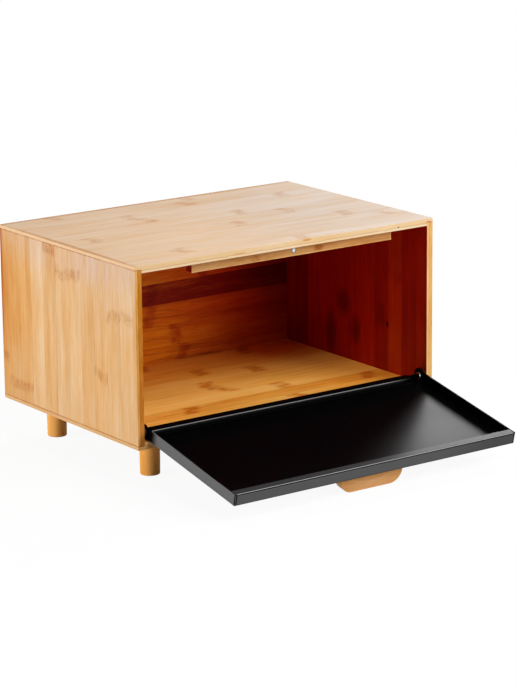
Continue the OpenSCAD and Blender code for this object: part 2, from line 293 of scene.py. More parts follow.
def near(t, coords, centre, reach):
    """How far a point of the surface is from a centre, as a share of the reach along each axis."""
    offset = t.pair("SUBTRACT", coords, tuple(c * MM for c in centre))
    share = t.pair("DIVIDE", offset, tuple(r * MM for r in reach))
    return t.length(share)


def node_marks(t, board, u, v_swayed, shift, strip, length_start):
    """Node marks: a soft bent band across the strip, with short dark dashes along the fibres."""
    strength, reach, softness = board.marks
    reach = reach * MM
    wave = t.noise(t.vector(t.product(v_swayed, 42.0), shift, 0.0), 1.0, 0.5)
    bend = t.remap(wave, 0.25, 0.75, -reach, reach)
    short = t.noise(t.vector(t.product(u, 330.0), t.product(v_swayed, 1050.0), shift), 2.0, 0.6)
    dashes = t.fade(short, 0.44, 0.62)
    wide = t.noise(t.vector(t.product(u, 90.0), t.product(v_swayed, 210.0), shift), 1.5)
    patches = t.fade(wide, 0.36, 0.62, 0.35, 1.0)
    marks = None
    for channel in (1, 2):
        place = t.calc("SUBTRACT", t.product(strip.outputs[channel], MARK_SCALE * MM), MARK_ZERO * MM)
        centre = t.calc("ADD", place, length_start)
        apart = t.calc("ABSOLUTE", t.calc("ADD", t.calc("SUBTRACT", u, centre), bend))
        soft = t.product(t.fade(apart, 0.1 * reach, 1.6 * reach, softness, 0.0), patches)
        dashed = t.product(t.fade(apart, 0.5 * reach, 1.3 * reach, 1.0, 0.0), dashes, patches)
        mark = t.calc("MAXIMUM", soft, dashed)
        marks = mark if marks is None else t.calc("MAXIMUM", marks, mark)
    return t.product(marks, strength)


def bamboo(name, board, corner, seed=0.0):
    """Laminated bamboo: strips side by side, each with fibres, its own tone and up to two node marks."""
    t = Nodes(bpy.data.materials.new(name))
    texture = t.add("ShaderNodeTexCoord")
    coords = texture.outputs["Object"]
    place = t.add("ShaderNodeSeparateXYZ", {0: coords})
    facing = t.add("ShaderNodeSeparateXYZ", {0: texture.outputs["Normal"]})
    u = place.outputs[board.along]
    v = place.outputs[board.across]
    w = place.outputs[board.through]
    axis = {"X": 0, "Y": 1, "Z": 2}
    start = corner[axis[board.across]] - board.lead * MM
    length_start = corner[axis[board.along]]

    # Which strip this is, and how far across it.
    count = len(board.strips)
    s = t.calc("DIVIDE", t.calc("SUBTRACT", v, start), STRIP_WIDTH)
    index = t.calc("FLOOR", s)
    local = t.calc("SUBTRACT", s, index)
    stops = []
    for k, (tone, first, second) in enumerate(board.strips):
        places = [(mark + MARK_ZERO) / MARK_SCALE for mark in (first, second)]
        stops.append((k / count, (tone, *places)))
    chosen = t.ramp(t.calc("DIVIDE", t.calc("ADD", index, 0.5), count), stops, "CONSTANT")
    strip = t.add("ShaderNodeSeparateColor", {0: chosen})
    shift = t.calc("MULTIPLY", t.calc("ADD", index, seed), STRIP_SHIFT)

    # Fibres: broad and fine streaks that run along the strip and change at each joint. Their numbers are how
    # often they change in a metre along the fibres, across them and through the board.
    sway = t.noise(t.vector(t.product(u, 16.0), t.product(v, 30.0), shift), 1.0)
    v_swayed = t.total(v, t.calc("MULTIPLY", shift, 0.1), t.remap(sway, 0.2, 0.8, -1.6 * MM, 1.6 * MM))
    streak = t.noise(t.vector(t.product(u, 8.0), t.product(v_swayed, 120.0), t.product(w, 40.0)), 1.5, 0.5)
    broad = t.noise(t.vector(t.product(u, 22.0), t.product(v_swayed, 400.0), t.product(w, 90.0)), 2.0, 0.6)
    medium = t.noise(t.vector(t.product(u, 60.0), t.product(v_swayed, 1200.0), t.product(w, 400.0)), 2.0, 0.6)
    fine = t.noise(t.vector(t.product(u, 140.0), t.product(v_swayed, 3200.0), t.product(w, 1800.0)), 2.0)
    cloud = t.noise(t.vector(t.product(u, 9.0), t.product(v_swayed, 30.0), t.product(w, 20.0)), 1.0)
    tone = t.total(strip.outputs[0], t.remap(cloud, 0.3, 0.7, -0.12, 0.12))
    for grain, swing in ((streak, 0.15), (broad, 0.15), (medium, 0.13), (fine, 0.07)):
        swing = swing * board.streaks
        tone = t.total(tone, t.remap(grain, 0.25, 0.75, -swing, swing))
    turned = facing.outputs[board.through]
    flat = t.fade(t.calc("ABSOLUTE", turned), 0.5, 0.8)
    on_edge = t.calc("SUBTRACT", 1.0, flat)
    if board.ply:
        ply_place, below, above = board.ply
        layers = t.fade(w, (ply_place - PLY_BLUR) * MM, (ply_place + PLY_BLUR) * MM, below, above)
        tone = t.total(tone, t.product(layers, on_edge))
        wave = t.noise(t.vector(t.product(u, 45.0), shift, 0.0), 2.0)
        wobble = t.remap(wave, 0.3, 0.7, -0.7 * MM, 0.7 * MM)
        apart = t.calc("ABSOLUTE", t.total(w, wobble, -ply_place * MM))
        seam = t.product(t.fade(apart, 0.15 * MM, 0.7 * MM, 0.5, 0.0), on_edge)
    colour = t.palette(tone, board.edges)
    for palette, start_turn, end_turn in ((board.low_face, -0.5, -0.8), (board.high_face, 0.5, 0.8)):
        if palette is not board.edges:
            colour = t.mix(t.fade(turned, start_turn, end_turn), colour, t.palette(tone, palette))

    marks = t.product(node_marks(t, board, u, v_swayed, shift, strip, length_start), flat)
    colour = t.mix(marks, colour, MARK_TINT, "MULTIPLY")

    # Warmer and cooler patches along the fibres.
    warmth = t.noise(t.vector(t.product(u, 12.0), t.product(v_swayed, 70.0), shift), 2.0)
    for tint, start_patch, end_patch in ((WARM_TINT, 0.42, 0.66), (COOL_TINT, 0.56, 0.34)):
        patch = t.fade(warmth, start_patch, end_patch, 0.0, 0.5 * board.streaks)
        colour = t.mix(patch, colour, tint, "MULTIPLY")

    # The glue line between the two layers that show on the edges.
    if board.ply:
        colour = t.mix(seam, colour, LINE_AND_SHADE_TINT, "MULTIPLY")

    # A thin glue line at each joint between strips.
    edge = t.calc("MINIMUM", local, t.calc("SUBTRACT", 1.0, local))
    joint = t.fade(edge, 0.004, 0.024, 1.0, 0.0)
    worn = t.fade(t.noise(t.vector(t.product(u, 14.0), shift, 0.0), 1.0), 0.38, 0.62)
    glue = t.product(joint, worn, flat, board.glue)
    colour = t.mix(glue, colour, GLUE_TINT, "MULTIPLY")

    # End grain: faint bundle dots on an even ground where a face cuts the fibres.
    ended = t.fade(t.calc("ABSOLUTE", facing.outputs[board.along]), 0.6, 0.85)
    dots = t.add("ShaderNodeTexVoronoi", {"Vector": coords, "Scale": 1400.0}).outputs["Distance"]
    end_colour = t.mix(t.fade(dots, 0.15, 0.4, 0.5, 0.0), board.end, END_DOT_TINT, "MULTIPLY")
    colour = t.mix(ended, colour, end_colour)

    # Lines along the board's borders, broken along their length: dark joint lines, and on the stop strip a
    # painted shade under the top board and painted highlights along its lower and right arrises.
    ragged = t.noise(coords, 2.0, scale=160.0)
    broken = t.fade(ragged, 0.34, 0.54, 0.4, 1.0)
    for letter, dark_end, clear_end, depth, tint in board.joints:
        line = t.fade(place.outputs[letter], dark_end * MM, clear_end * MM, depth, 0.0)
        colour = t.mix(t.product(line, broken), colour, tint, "MULTIPLY")

    # Knots, specks and stains, and patches of painted light, shade and sheen.
    for blots_and_painted_light, mask in ((board.blots_and_painted_light, flat), (board.edge_blots_and_painted_light, on_edge)):
        for x, y, z, reach, depth, tint in blots_and_painted_light:
            spread = t.fade(near(t, coords, (x, y, z), reach), 0.35, 1.0, depth, 0.0)
            colour = t.mix(t.product(spread, mask), colour, tint, "MULTIPLY")

    fibres = t.total(t.product(fine, 0.5), t.product(medium, 0.5))
    height = t.total(fibres, t.product(glue, -1.5), t.product(marks, -0.5))
    bump = t.add("ShaderNodeBump", {"Strength": 0.18, "Distance": 0.15 * MM, "Height": height})
    return t.shader(
        Base_Color=colour,
        Roughness=t.remap(medium, 0.2, 0.8, board.dull, board.dull + DULL_RANGE),
        Specular_IOR_Level=board.gloss,
        Normal=bump.outputs[0],
    )


# The open door's own directions: how far it droops, and where its hinge axis lies.
DROOP = math.radians(12.19)
OUTER_FACE_GAP = 6.6 * MM
PAN_DEPTH = 12.7 * MM
HINGE_LOW, HINGE_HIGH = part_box("left_hinge_screw")
HINGE_Y = (HINGE_LOW.y + HINGE_HIGH.y) / 2
HINGE_Z = (HINGE_LOW.z + HINGE_HIGH.z) / 2
PAN_UP = (0.0, -math.sin(DROOP), math.cos(DROOP))
PAN_AHEAD = (0.0, -math.cos(DROOP), -math.sin(DROOP))


def black_paint():
    """Satin black powder coat with a faint orange peel. A painted sheen greys its outer face, painted grey
    reflections its side and front faces and lips, and painted highlights its bends and sheet edges.
    """
    t = Nodes(bpy.data.materials.new("black_paint_satin"))
    texture = t.add("ShaderNodeTexCoord")
    coords = texture.outputs["Object"]
    normal = texture.outputs["Normal"]
    x = t.add("ShaderNodeSeparateXYZ", {0: coords}).outputs["X"]
    normal_x = t.add("ShaderNodeSeparateXYZ", {0: normal}).outputs["X"]
    half_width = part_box("door_pan")[1].x

    # rise is the height above the outer face, reach the distance from the hinge axis towards the free edge.
    from_axis = t.pair("SUBTRACT", coords, (0.0, HINGE_Y, HINGE_Z))
    rise = t.calc("ADD", t.dot(from_axis, PAN_UP), OUTER_FACE_GAP)
    reach = t.dot(from_axis, PAN_AHEAD)
    facing_up = t.dot(normal, PAN_UP)
    facing_ahead = t.dot(normal, PAN_AHEAD)
    free_end = t.fade(reach, 130 * MM, 140 * MM)

    # The outer side faces: a painted grey reflection, lighter towards the top, fading to a painted black
    # shade beside the hinge.
    outward = t.product(normal_x, x, 1 / half_width)
    wall_reflection = t.product(t.fade(outward, 0.4, 0.9), t.fade(reach, 14 * MM, 27 * MM))
    wall_reflection = t.product(wall_reflection, t.fade(rise, 0.0, PAN_DEPTH, 0.92, 1.12))
    # The free edge's outer wall: a painted grey reflection, dimmer to the right, and black at its open
    # corners.
    across_front = t.fade(t.calc("ABSOLUTE", x), half_width - 2.0 * MM, half_width - 3.4 * MM)
    front = t.product(t.fade(facing_ahead, 0.93, 0.99), free_end, across_front)
    front = t.product(front, t.fade(x, 60 * MM, 170 * MM, 1.0, 0.66))
    # The outer face, which shows when the door is closed: the paint's own grey with a painted sheen.
    outside_and_sheen = t.product(t.fade(facing_up, -0.7, -0.95), t.fade(rise, 1.0 * MM, 0.5 * MM))
    # A painted highlight on the free edge's upper bend next to the lip, and a painted reflection that makes
    # the lip a little greyer than the pan.
    off_bend = t.calc("ABSOLUTE", t.calc("SUBTRACT", facing_ahead, 0.45))
    bend = t.product(t.fade(off_bend, 0.10, 0.20, 1.0, 0.0), free_end, t.fade(facing_up, 0.6, 0.8))
    bend = t.product(bend, across_front)
    on_lip = t.fade(rise, PAN_DEPTH - 0.6 * MM, PAN_DEPTH - 0.2 * MM)
    free_lip_reflection = t.product(t.fade(facing_up, 0.9, 0.98), on_lip, free_end)
    # Painted highlights on the cut edge of the hinge lip, fading out to the right, and on the left wall's top
    # edge; a dim painted reflection on the wall's inner face under the lip.
    ahead = t.fade(facing_ahead, 0.7, 0.9)
    lip_edge_highlight = t.product(ahead, t.fade(rise, PAN_DEPTH - 1.3 * MM, PAN_DEPTH - 1.0 * MM))
    lip_edge_highlight = t.product(lip_edge_highlight, t.fade(reach, 30 * MM, 20 * MM), t.fade(x, 158 * MM, 120 * MM))
    under_lip_reflection = t.product(ahead, t.fade(reach, 12 * MM, 6 * MM), t.fade(rise, 2 * MM, 7 * MM))
    under_lip_reflection = t.product(under_lip_reflection, t.fade(x, 0.90 * half_width, 0.82 * half_width))
    rim = t.product(t.fade(facing_up, 0.7, 0.9), t.fade(x, 1.1 * MM - half_width, 0.9 * MM - half_width))
    rim = t.product(rim, t.fade(reach, 120 * MM, 30 * MM), t.fade(reach, 12 * MM, 15 * MM))

    peel = t.noise(coords, 2.0, scale=900.0)
    cloud = t.noise(coords, 2.0, scale=14.0)
    colour = t.mix(outside_and_sheen, PAINT_BLACK, PAINT_OUTSIDE_AND_SHEEN)
    colour = t.mix(front, colour, PAINT_FRONT_REFLECTION)
    colour = t.mix(wall_reflection, colour, PAINT_WALL_REFLECTION)
    colour = t.mix(t.calc("MAXIMUM", bend, t.product(lip_edge_highlight, 0.7)), colour, PAINT_BEND_HIGHLIGHT)
    colour = t.mix(t.calc("MAXIMUM", free_lip_reflection, under_lip_reflection), colour, PAINT_LIP_REFLECTION)
    colour = t.mix(rim, colour, PAINT_RIM_HIGHLIGHT)
    bump = t.add("ShaderNodeBump", {"Strength": 0.06, "Distance": 0.1 * MM, "Height": peel})
    return t.shader(
        Base_Color=colour,
        Roughness=t.remap(cloud, 0.3, 0.7, 0.28, 0.34),
        Specular_IOR_Level=0.02,
        Normal=bump.outputs[0],
    )


def metal(name, colour, roughness):
    """Bare metal with fine scuffs."""
    t = Nodes(bpy.data.materials.new(name))
    coords = t.add("ShaderNodeTexCoord").outputs["Object"]
    scuffs = t.noise(coords, 3.0, scale=1500.0)
    bump = t.add("ShaderNodeBump", {"Strength": 0.05, "Distance": 0.05 * MM, "Height": scuffs})
    return t.shader(
        Base_Color=colour,
        Metallic=1.0,
        Roughness=t.remap(scuffs, 0.3, 0.7, roughness * 0.8, roughness * 1.2),
        Normal=bump.outputs[0],
    )


def ringed_metal(name, node, through, core, ring, edge):
    """Bare metal whose middle has another tone than the ring round it, out from the edge radius in mm."""
    t = Nodes(bpy.data.materials.new(name))
    coords = t.add("ShaderNodeTexCoord").outputs["Object"]
    low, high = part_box(node)
    offset = t.pair("SUBTRACT", coords, tuple((low + high) / 2))
    plane = tuple(0.0 if letter == through else 1.0 for letter in "XYZ")
    radius = t.length(t.pair("MULTIPLY", offset, plane))
    scuffs = t.noise(coords, 3.0, scale=1500.0)
    return t.shader(
        Base_Color=t.mix(t.fade(radius, (edge - 0.2) * MM, (edge + 0.2) * MM), core, ring),
        Metallic=1.0,
        Roughness=t.remap(scuffs, 0.3, 0.7, 0.22, 0.34),
    )


def nylon():
    """Black nylon with a dull moulded face."""
    t = Nodes(bpy.data.materials.new("black_nylon_moulded"))
    coords = t.add("ShaderNodeTexCoord").outputs["Object"]
    grain = t.noise(coords, 2.0, scale=2500.0)
    bump = t.add("ShaderNodeBump", {"Strength": 0.1, "Distance": 0.05 * MM, "Height": grain})
    return t.shader(
        Base_Color=(0.02, 0.02, 0.02),
        Roughness=t.remap(grain, 0.3, 0.7, 0.5, 0.6),
        Normal=bump.outputs[0],
    )


# Strips of each board, from its front or lower edge on: tone, then node marks in mm along the fibres.
TOP_STRIPS = [
    (0.64, 212, OFF), (0.50, 78, OFF), (0.52, 357, OFF), (0.56, 324, OFF), (0.54, 201, OFF),
    (0.50, 38, 285), (0.55, 235, OFF), (0.55, 134, OFF), (0.53, 128, 330), (0.50, 214, OFF),
    (0.46, 232, 60),
]
FLOOR_STRIPS = [
    (0.50, 60, OFF), (0.50, 300, OFF), (0.50, 236, OFF), (0.30, 113, 346), (0.64, 247, OFF),
    (0.62, 189, OFF), (0.54, 184, OFF), (0.57, 266, OFF), (0.40, 208, OFF), (0.50, 90, OFF),
    (0.40, 160, 300), (0.46, 260, OFF),
]
LEFT_STRIPS = [
    (0.50, OFF, OFF), (0.52, 129, OFF), (0.56, 126, OFF), (0.55, 64, OFF), (0.48, OFF, OFF),
    (0.55, 157, OFF), (0.56, 158, OFF), (0.46, 171, OFF), (0.66, OFF, OFF), (0.40, 19, OFF),
    (0.38, 14, OFF), (0.32, 45, OFF),
]
RIGHT_STRIPS = [
    (0.52, OFF, OFF), (0.42, OFF, OFF), (0.80, 115, OFF), (0.36, 60, OFF), (0.56, OFF, OFF),
    (0.40, 42, OFF), (0.36, 67, OFF), (0.30, 30, OFF), (0.34, 90, OFF), (0.10, OFF, OFF),
    (0.16, 120, OFF), (0.10, 60, OFF),
]
BACK_STRIPS = [
    (0.45, 217, 40), (0.56, 212, OFF), (0.50, 176, OFF), (0.02, 176, OFF), (0.62, 250, OFF),
    (0.50, 90, OFF), (0.50, 20, 300), (0.50, 140, OFF),
]
BAR_STRIPS = [(0.50, 80, 161), (0.36, 30, OFF)]
LEG_STRIPS = [(0.35, OFF, OFF), (0.55, OFF, OFF), (0.42, OFF, OFF)]

# The lines where a side board meets the top and the bottom board.
SIDE_JOINTS = (("Z", 227.2, 226.6, 0.8, LINE_AND_SHADE_TINT), ("Z", 46.1, 46.8, 0.9, LINE_AND_SHADE_TINT))
STRIP_LOW, STRIP_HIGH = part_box("stop_strip")

BOARDS = {
    # The top board's underside, the ceiling inside the box, has the right wall's painted shade.
    "top_panel": Board(
        "X", "Y", TOP_STRIPS, 3.7, low_face=WALL_PAINTED_SHADE, high_face=PALE_TOP_AND_SHEEN, edges=TOP_EDGE,
        ply=(226.6, 0.30, 0.0),
        edge_blots_and_painted_light=[
            (143.3, -54.3, 227.2, (1.3, 1.3, 1.1), 1.0, SPECK_TINT),
            (22.8, -54.3, 230.2, (8.0, 3.0, 1.8), 0.8, KNOT_TINT),
            (-62.0, -54.3, 227.5, (12.0, 2.0, 1.2), 0.5, KNOT_TINT),
            (184.0, -54.3, 227.8, (4.2, 1.5, 1.1), 1.0, CRACK_TINT),
            (-190.0, 60.0, 231.6, (3.0, 170.0, 1.2), 0.8, ARRIS_TINT),
        ],
        blots_and_painted_light=[
            (-190.0, 60.0, 231.6, (6.0, 170.0, 4.0), 1.0, ARRIS_TINT),
            (-40.0, 205.0, 231.6, (500.0, 8.0, 4.0), 1.0, ARRIS_TINT),
            # Painted sheen: warmer on the top's left, paler and bluer on its right.
            (-190.0, 20.0, 231.6, (260.0, 260.0, 6.0), 0.8, TOP_LEFT_LESS_SHEEN_TINT),
            (200.0, 40.0, 231.6, (240.0, 260.0, 6.0), 1.0, TOP_RIGHT_SHEEN_TINT),
        ],
        marks=(0.78, 8.0, 0.6), streaks=0.6, gloss=0.12, glue=0.9, dull=0.60,
    ),
    # The floor inside the box has the bamboo's colour in a redder painted shade.
    "bottom_panel": Board(
        "X", "Y", FLOOR_STRIPS, 15.3, high_face=FLOOR_PAINTED_SHADE, edges=BOTTOM_EDGE_LIT, end=BOTTOM_END,
        ply=(45.6, -0.1, 0.05), marks=(1.5, 9.0, 0.9), streaks=1.1,
        blots_and_painted_light=[
            # Painted shade towards the rear and by the right wall, painted light at the front left.
            (40, 230, 49.6, (330, 190, 6), 0.78, FLOOR_REAR_SHADE_TINT),
            (190, 10, 49.6, (150, 120, 6), 0.9, FLOOR_RIGHT_SHADOW_TINT),
            (-182, -60, 49.6, (150, 90, 6), 0.6, FLOOR_LEFT_LIGHT_TINT),
        ],
    ),
    # The left board's inner face has a milder painted shade.
    "left_side": Board(
        "Z", "Y", LEFT_STRIPS, 18.7, high_face=SIDE_PAINTED_SHADE, edges=LEFT_EDGE, ply=(-187.0, 0.0, -0.40),
        joints=SIDE_JOINTS,
        blots_and_painted_light=[
            (-190, 190, 150, (6, 80, 75), 0.7, STAIN_TINT),
            (-190, 206, 130, (6, 30, 110), 0.5, STAIN_TINT),
            # Painted sheen at the top front and along the top of the outer face.
            (-190, -30, 215, (6, 110, 70), 0.7, LEFT_FRONT_SHEEN_TINT),
            (-190, 60, 232, (6, 260, 45), 0.8, LEFT_TOP_SHEEN_TINT),
            (-190, 205, 190, (3, 4.5, 140), 1.0, LINE_AND_SHADE_TINT),
        ],
        edge_blots_and_painted_light=[
            # Painted sheen on the front edge's upper part, painted shade on its lower part.
            (-186, -54.3, 205, (6, 5, 75), 0.9, LEFT_EDGE_SHEEN_TINT),
            (-186, -54.3, 65, (6, 5, 60), 0.7, LEFT_EDGE_SHADE_TINT),
        ],
    ),
    # The right board's inner face has a deep red painted shade.
    "right_side": Board(
        "Z", "Y", RIGHT_STRIPS, 6.0, low_face=WALL_PAINTED_SHADE, edges=RIGHT_EDGE, ply=(185.0, 0.2, -0.05),
        joints=SIDE_JOINTS,
        blots_and_painted_light=[
            (182, 13.3, 103.1, (3.0, 3.0, 5.0), 1.0, SPECK_TINT),
            (182, -1.5, 172.0, (3.0, 9.0, 13.0), 0.5, WALL_GREEN_TINT),
            (182, 92, 114, (3.0, 17.0, 22.0), 0.9, DIM_TINT),
            (182, 115, 74, (3.0, 15.0, 36.0), 0.9, DIM_TINT),
            (182, 70, 86, (3.0, 12.0, 24.0), 0.8, DIM_TINT),
            (182, 24, 112, (3.0, 10.0, 18.0), 0.5, DIM_TINT),
            # Painted light, low down near the front.
            (182, -30, 55, (3.0, 90.0, 75.0), 0.8, WALL_PAINTED_LIGHT_TINT),
        ],
        streaks=0.8,
    ),
    # The back board's inner face has a red painted shade.
    "back_panel": Board(
        "X", "Z", BACK_STRIPS, 6.2, low_face=BACK_PAINTED_SHADE, marks=(1.7, 7.0, 0.9),
        blots_and_painted_light=[
            # Painted shade towards the right and in the right corner, painted light low down left of the
            # middle.
            (190, 197, 150, (250, 6, 170), 1.0, BACK_RIGHT_SHADE_TINT),
            (205, 197, 150, (120, 6, 150), 1.0, BACK_CORNER_SHADE_TINT),
            (-30, 197, 95, (90, 6, 60), 0.6, BACK_PAINTED_LIGHT_TINT),
        ],
    ),
    "stop_strip": Board(
        "X", "Z", BAR_STRIPS, 1.0, low_face=STRIP_EDGE, high_face=STRIP_EDGE, edges=STRIP_EDGE,
        end=STRIP_END_SHADE,
        edge_blots_and_painted_light=[
            (48.6, -40.5, 213.4, (9.0, 5.0, 3.0), 0.8, KNOT_TINT),
        ],
        blots_and_painted_light=[
            (48.6, -40.5, 216.7, (9.0, 3.0, 4.0), 0.8, KNOT_TINT),
            (-52.4, -40.5, 215.9, (8.0, 3.0, 1.5), 0.5, KNOT_TINT),
        ],
        # A painted shade darkens the strip's upper part under the top board; painted highlights light its
        # lower and right arrises.
        joints=(
            ("Z", 222.5, 216.5, 0.6, LINE_AND_SHADE_TINT),
            ("Z", STRIP_LOW.z / MM + 0.6, STRIP_LOW.z / MM + 1.4, 0.9, STRIP_HIGHLIGHT_TINT),
            ("X", STRIP_HIGH.x / MM - 1.6, STRIP_HIGH.x / MM - 2.6, 0.7, STRIP_HIGHLIGHT_TINT),
        ),
    ),
    "door_handle": Board(
        "X", "Y", BAR_STRIPS, 1.0, low_face=HANDLE, high_face=HANDLE, edges=HANDLE, end=HANDLE_END,
        streaks=1.2,
    ),
}
LEG = Board("Z", "Y", LEG_STRIPS, 1.0, low_face=ROUND, high_face=ROUND, edges=ROUND, streaks=1.2)
CORNERS = [(end, side) for end in ("front", "rear") for side in ("left", "right")]
# The seeds keep the boards' and the legs' fibres apart.
BOARD_SEED_STEP = 17.0
LEG_SEED = 90.0


def dress(node, material):
    """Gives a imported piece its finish."""
    piece = frame["nodes"][node]
    for slot in piece.material_slots:
        slot.material = material


def dress_all():
    """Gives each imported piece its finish, and makes the pieces that stand for packed ones."""
    for place, (node, board) in enumerate(BOARDS.items()):
        dress(node, bamboo(node + "_bamboo", board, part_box(node)[0], place * BOARD_SEED_STEP))
    for place, (end, side) in enumerate(CORNERS):
        leg = f"{end}_{side}_leg"
        dress(leg, bamboo(leg + "_bamboo", LEG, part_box(leg)[0], LEG_SEED + place))
        dress(f"{end}_{side}_stud", FINISHES["zinc"])
    for side, inward in (("left", 1.0), ("right", -1.0)):
        hinge_screw(f"{side}_hinge_screw", inward)
        handle_screw(f"{side}_handle_screw")
        dress(f"{side}_hinge_spacer", FINISHES["nylon"])
    magnet()
    dress("door_pan", black_paint())


# The screws' sizes that their boxes don't give.
HINGE_HEAD_H = 2.2 * MM
HINGE_SHOULDER_L = 4.65 * MM
HINGE_SHOULDER_R = 2.5 * MM
HINGE_THREAD_R = 2.0 * MM
HANDLE_HEAD_H = 2.0 * MM
HANDLE_NECK_L = 1.0 * MM
HANDLE_THREAD_R = 1.75 * MM
# The width of a cross recess as a share of the head's radius, and its depth as a share of the head's height.
RECESS_WIDTH = 1.1
RECESS_DEPTH = 0.5
# A turned piece's sides, and the angle from which an edge is sharp.
TURNED_SIDES = 48
SHARP_ANGLE = math.radians(35)


def axes(axis):
    """A direction, and two more that are square to it and to each other."""
    along = Vector(axis).normalized()
    side = along.orthogonal().normalized()
    return along, side, along.cross(side)


def mesh_of(bm, name):
    """Ends a bmesh as a closed mesh whose faces look outward."""
    bmesh.ops.recalc_face_normals(bm, faces=bm.faces)
    mesh = bpy.data.meshes.new(name)
    bm.to_mesh(mesh)
    bm.free()
    return mesh


def put(name, data):
    """A new object in the scene."""
    piece = bpy.data.objects.new(name, data)
    bpy.context.scene.collection.objects.link(piece)
    return piece


def lathe(name, profile, start, axis):
    """A turned piece: profile is a list of (distance, radius) that starts and ends on the axis."""
    bm = bmesh.new()
    along, side, across = axes(axis)
    rings = []
    for distance, radius in profile:
        centre = Vector(start) + along * distance
        if radius == 0:
            rings.append([bm.verts.new(centre)])
            continue
        ring = []
        for k in range(TURNED_SIDES):
            turn = 2 * math.pi * k / TURNED_SIDES
            ring.append(bm.verts.new(centre + radius * (math.cos(turn) * side + math.sin(turn) * across)))
        rings.append(ring)
    for low, high in zip(rings, rings[1:]):
        for k in range(TURNED_SIDES):
            corners = [low[k % len(low)], low[(k + 1) % len(low)]]
            corners += [high[(k + 1) % len(high)], high[k % len(high)]]
            bm.faces.new(list(dict.fromkeys(corners)))
    mesh = mesh_of(bm, name)
    mesh.shade_smooth()
    mesh.set_sharp_from_angle(angle=SHARP_ANGLE)
    return put(name, mesh)


def cross_recess(piece, top, axis, size, depth):
    """Sinks a cross recess for a driver, narrower at its bottom, into the top of a screw's head."""
    along, side, across = axes(axis)
    bm = bmesh.new()
    arm = size / 2
    slot = size / 7
    outline = []
    for turn in range(4):
        for a, b in ((arm, slot), (slot, slot), (slot, arm)):
            for _ in range(turn):
                a, b = -b, a
            outline.append((a, b))
    levels = []
    for distance, share in ((-depth, 0.55), (0.5 * depth, 1.25)):
        centre = Vector(top) + along * distance
        levels.append([bm.verts.new(centre + share * (a * side + b * across)) for a, b in outline])
    for k in range(len(outline)):
        after = (k + 1) % len(outline)
        bm.faces.new((levels[0][k], levels[0][after], levels[1][after], levels[1][k]))
    bm.faces.new(levels[0][::-1])
    bm.faces.new(levels[1])
    cutter = put("recess_cutter", mesh_of(bm, "recess_cutter"))
    cut = piece.modifiers.new("recess", "BOOLEAN")
    cut.object = cutter
    cut.operation = "DIFFERENCE"
    cut.solver = "EXACT"
    evaluated = piece.evaluated_get(bpy.context.evaluated_depsgraph_get())
    shaped = bpy.data.meshes.new_from_object(evaluated)
    piece.modifiers.clear()
    piece.data = shaped
    shaped.set_sharp_from_angle(angle=SHARP_ANGLE)
    bpy.data.objects.remove(cutter)


def thread(start, end, radius, pitch=1.0 * MM):
    """The profile of a threaded shank, as rings a pitch apart."""
    points = [(start, 0.0), (start, 0.6 * radius), (start + pitch, radius)]
    turns = int((end - start - 1.5 * pitch) / pitch)
    for k in range(turns):
        low = start + (k + 1.2) * pitch
        points += [(low, radius), (low + 0.4 * pitch, 0.86 * radius), (low + 0.8 * pitch, radius)]
    return points + [(end, radius)]


def head(start, height, radius):
    """The profile of a low round screw head, from its flat face to the middle of its dome."""
    rim = 0.35 * height
    points = [(start, 0.94 * radius), (start + 0.06 * height, radius), (start + rim, radius)]
    steps = 8
    for k in range(1, steps):
        turn = math.pi / 2 * k / steps
        points.append((start + rim + (height - rim) * math.sin(turn), radius * math.cos(turn) ** 0.7))
    return points + [(start + height, 0.0)]


def shaft(node, axis):
    """Where a turned node starts on its axis, how long it is and its greatest radius."""
    along, side, across = axes(axis)
    points = [vertex.co for vertex in frame["nodes"][node].data.vertices]
    spans = []
    for direction in (along, side, across):
        places = [direction.dot(point) for point in points]
        spans.append((min(places), max(places)))
    ends, width, depth = spans
    start = ends[0] * along + sum(width) / 2 * side + sum(depth) / 2 * across
    return start, ends[1] - ends[0], (width[1] - width[0]) / 2


def stand_in(piece, node, body, material):
    """Lets a piece made here stand for a packed one."""
    piece.data.materials.clear()
    piece.data.materials.append(material)
    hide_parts(node)
    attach(piece, body)


def hinge_screw(node, inward):
    """A screw with a thread in the side board, the shoulder that the door turns on and a cross-slot head."""
    axis = (inward, 0.0, 0.0)
    start, length, radius = shaft(node, axis)
    head_start = length - HINGE_HEAD_H
    neck = head_start - HINGE_SHOULDER_L
    shoulder = [(neck, HINGE_SHOULDER_R), (head_start, HINGE_SHOULDER_R)]
    profile = thread(0.0, neck, HINGE_THREAD_R) + shoulder + head(head_start, HINGE_HEAD_H, radius)
    piece = lathe(node + "_turned", profile, start, axis)
    top = start + Vector(axis) * length
    cross_recess(piece, top, axis, RECESS_WIDTH * radius, RECESS_DEPTH * HINGE_HEAD_H)
    stand_in(piece, node, "case", FINISHES["hinge"])


def handle_screw(node):
    """A screw through the door's sheet into the handle, its cross-slot head inside the door."""
    start, length, radius = shaft(node, PAN_UP)
    head_start = length - HANDLE_HEAD_H
    shank = thread(0.0, head_start - HANDLE_NECK_L, HANDLE_THREAD_R) + [(head_start, HANDLE_THREAD_R)]
    piece = lathe(node + "_turned", shank + head(head_start, HANDLE_HEAD_H, radius), start, PAN_UP)
    top = start + Vector(PAN_UP) * length
    cross_recess(piece, top, PAN_UP, RECESS_WIDTH * radius, RECESS_DEPTH * HANDLE_HEAD_H)
    stand_in(piece, node, "door", FINISHES["zinc"])


